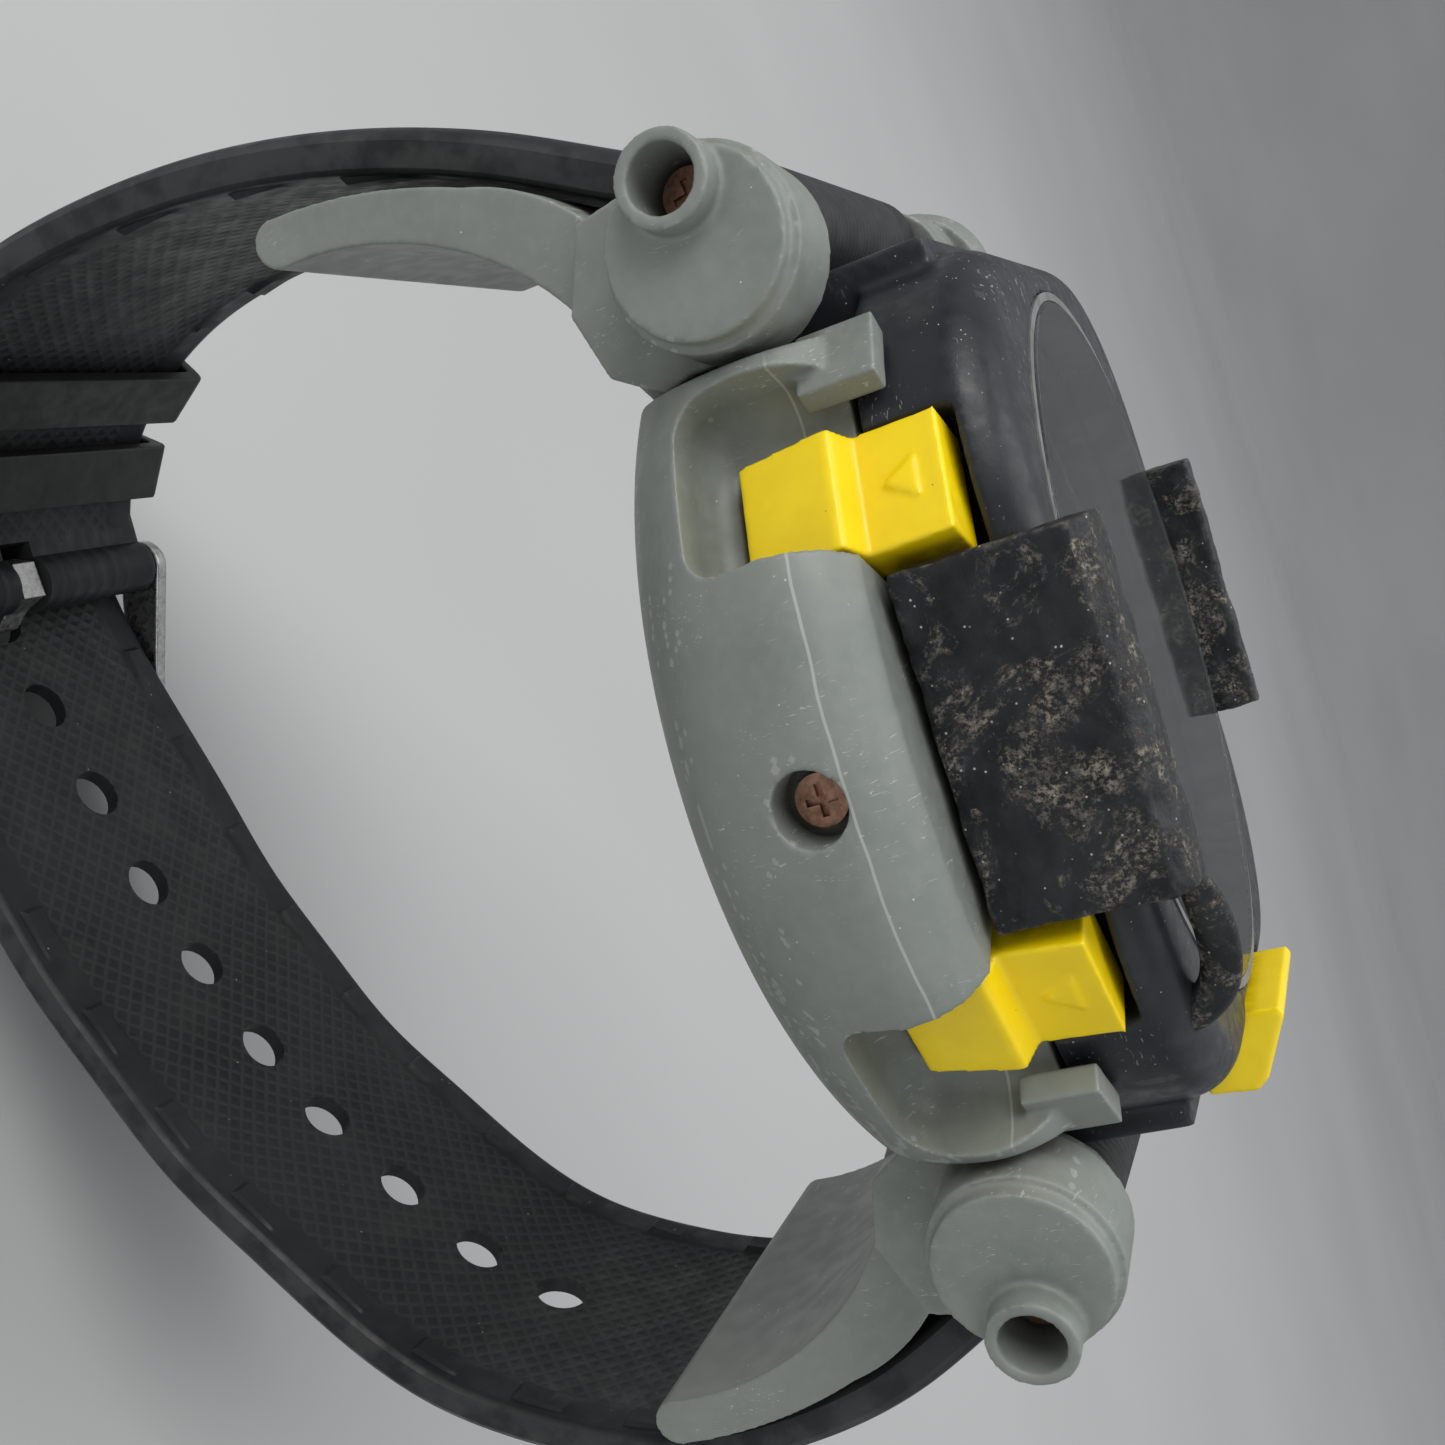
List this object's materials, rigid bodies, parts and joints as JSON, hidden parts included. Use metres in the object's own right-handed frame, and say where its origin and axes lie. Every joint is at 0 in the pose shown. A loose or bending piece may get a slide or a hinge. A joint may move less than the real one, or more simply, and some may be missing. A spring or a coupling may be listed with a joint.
{
  "type": "wrist dive computer",
  "caption": "Round wrist dive computer with flank buttons, raised rubber guards, slanted end caps with wings, and a closed rubber strap with buckle.",
  "frame": {"origin": "centre of the flat case back, which rests on the wrist", "axes": "+Z is the display's outward normal, +Y points to 12 o'clock, +X points to 3 o'clock"},
  "size_m": [0.05, 0.0728, 0.0733],
  "materials": {
    "bezel": "satin, dusty",
    "cover_grey": "matte, scuffed",
    "button_yellow": "satin",
    "guard_rubber": "worn matte",
    "strap_rubber": "matte",
    "lens_glass": "clear",
    "dial_black": "matte",
    "lcd_glass": "glossy",
    "board_green": "satin",
    "steel": "brushed",
    "copper_screw": "tarnished",
    "spring_steel": "drawn",
    "seal_rubber": "smooth",
    "cell_steel": "bright"
  },
  "bodies": {
    "case": {"upper_case": "bezel", "side_cover_9": "cover_grey", "side_cover_3": "cover_grey", "cover_screws": "copper_screw", "lens": "lens_glass", "lens_gasket": "seal_rubber", "dial_ring": "dial_black", "lcd_panel": "lcd_glass", "lcd_bracket": "dial_black", "circuit_board": "board_green", "buzzer": "steel", "side_switches": "steel", "battery": "cell_steel", "battery_clip": "steel", "back_cover": "bezel", "back_screws": "steel", "back_gasket": "seal_rubber", "battery_hatch": "bezel", "hatch_seal": "seal_rubber", "guard_9": "guard_rubber", "guard_3": "guard_rubber", "pressure_sensor": "steel", "sensor_seal": "seal_rubber", "end_piece_12": "cover_grey", "end_piece_6": "cover_grey", "end_screws_12": "steel", "end_screws_6": "steel", "strap_pin_12": "steel", "strap_pin_6": "steel", "button_2_spring": "spring_steel", "button_10_spring": "spring_steel", "button_8_spring": "spring_steel", "button_4_spring": "spring_steel"},
    "front_button": {"button_front": "button_yellow", "button_front_stem": "steel"},
    "strap_upper": {"strap_12": "strap_rubber", "buckle_bar": "steel", "keeper_fixed": "strap_rubber"},
    "strap_lower": {"strap_6": "strap_rubber"},
    "buckle": {"buckle_frame": "steel"},
    "tongue": {"buckle_tongue": "steel"},
    "keeper": {"keeper_loose": "strap_rubber"},
    "flank_button_2": {"button_2": "button_yellow", "button_2_stem": "steel"},
    "flank_button_10": {"button_10": "button_yellow", "button_10_stem": "steel"},
    "flank_button_8": {"button_8": "button_yellow", "button_8_stem": "steel"},
    "flank_button_4": {"button_4": "button_yellow", "button_4_stem": "steel"}
  },
  "joints": [
    {"name": "button_2_press", "type": "slide", "parent": "case", "child": "flank_button_2", "axis": [-0.8788, -0.4772, 0], "range_m": [0, 0.0008], "stiffness_N_per_m": 400, "springref_m": -0.0004, "deforming": ["button_2_spring"]},
    {"name": "button_10_press", "type": "slide", "parent": "case", "child": "flank_button_10", "axis": [0.8788, -0.4772, 0], "range_m": [0, 0.0008], "stiffness_N_per_m": 400, "springref_m": -0.0004, "deforming": ["button_10_spring"]},
    {"name": "button_8_press", "type": "slide", "parent": "case", "child": "flank_button_8", "axis": [0.8788, 0.4772, 0], "range_m": [0, 0.0008], "stiffness_N_per_m": 400, "springref_m": -0.0004, "deforming": ["button_8_spring"]},
    {"name": "button_4_press", "type": "slide", "parent": "case", "child": "flank_button_4", "axis": [-0.8788, 0.4772, 0], "range_m": [0, 0.0008], "stiffness_N_per_m": 400, "springref_m": -0.0004, "deforming": ["button_4_spring"]},
    {"name": "button_front_press", "type": "slide", "parent": "case", "child": "front_button", "axis": [0, 0, -1], "range_m": [0, 0.0006], "stiffness_N_per_m": 400, "springref_m": -0.0004},
    {"name": "strap_12_swing", "type": "hinge", "parent": "case", "child": "strap_upper", "pos_m": [0, 0.0234, 0.0078], "axis": [1, 0, 0], "range_deg": [0, 60], "stiffness_Nm_per_rad": 0.08, "deforming": ["strap_6"]},
    {"name": "strap_6_swing", "type": "hinge", "parent": "case", "child": "strap_lower", "pos_m": [0, -0.0234, 0.0078], "axis": [1, 0, 0], "range_deg": [-60, 0], "stiffness_Nm_per_rad": 0.08, "deforming": ["strap_6"]},
    {"name": "tongue_swing", "type": "hinge", "parent": "buckle", "child": "tongue", "pos_m": [0, 0.0218, -0.0464], "axis": [1, 0, 0], "range_deg": [0, 25], "deforming": ["strap_6"]},
    {"name": "buckle_swing", "type": "hinge", "parent": "strap_upper", "child": "buckle", "pos_m": [0, 0.0218, -0.0464], "axis": [1, 0, 0], "range_deg": [0, 10], "deforming": ["strap_6"]},
    {"name": "keeper_slide", "type": "slide", "parent": "strap_upper", "child": "keeper", "axis": [0, 0.5446, 0.8387], "range_m": [-0.001, 0.0015], "deforming": ["strap_6"]}
  ]
}
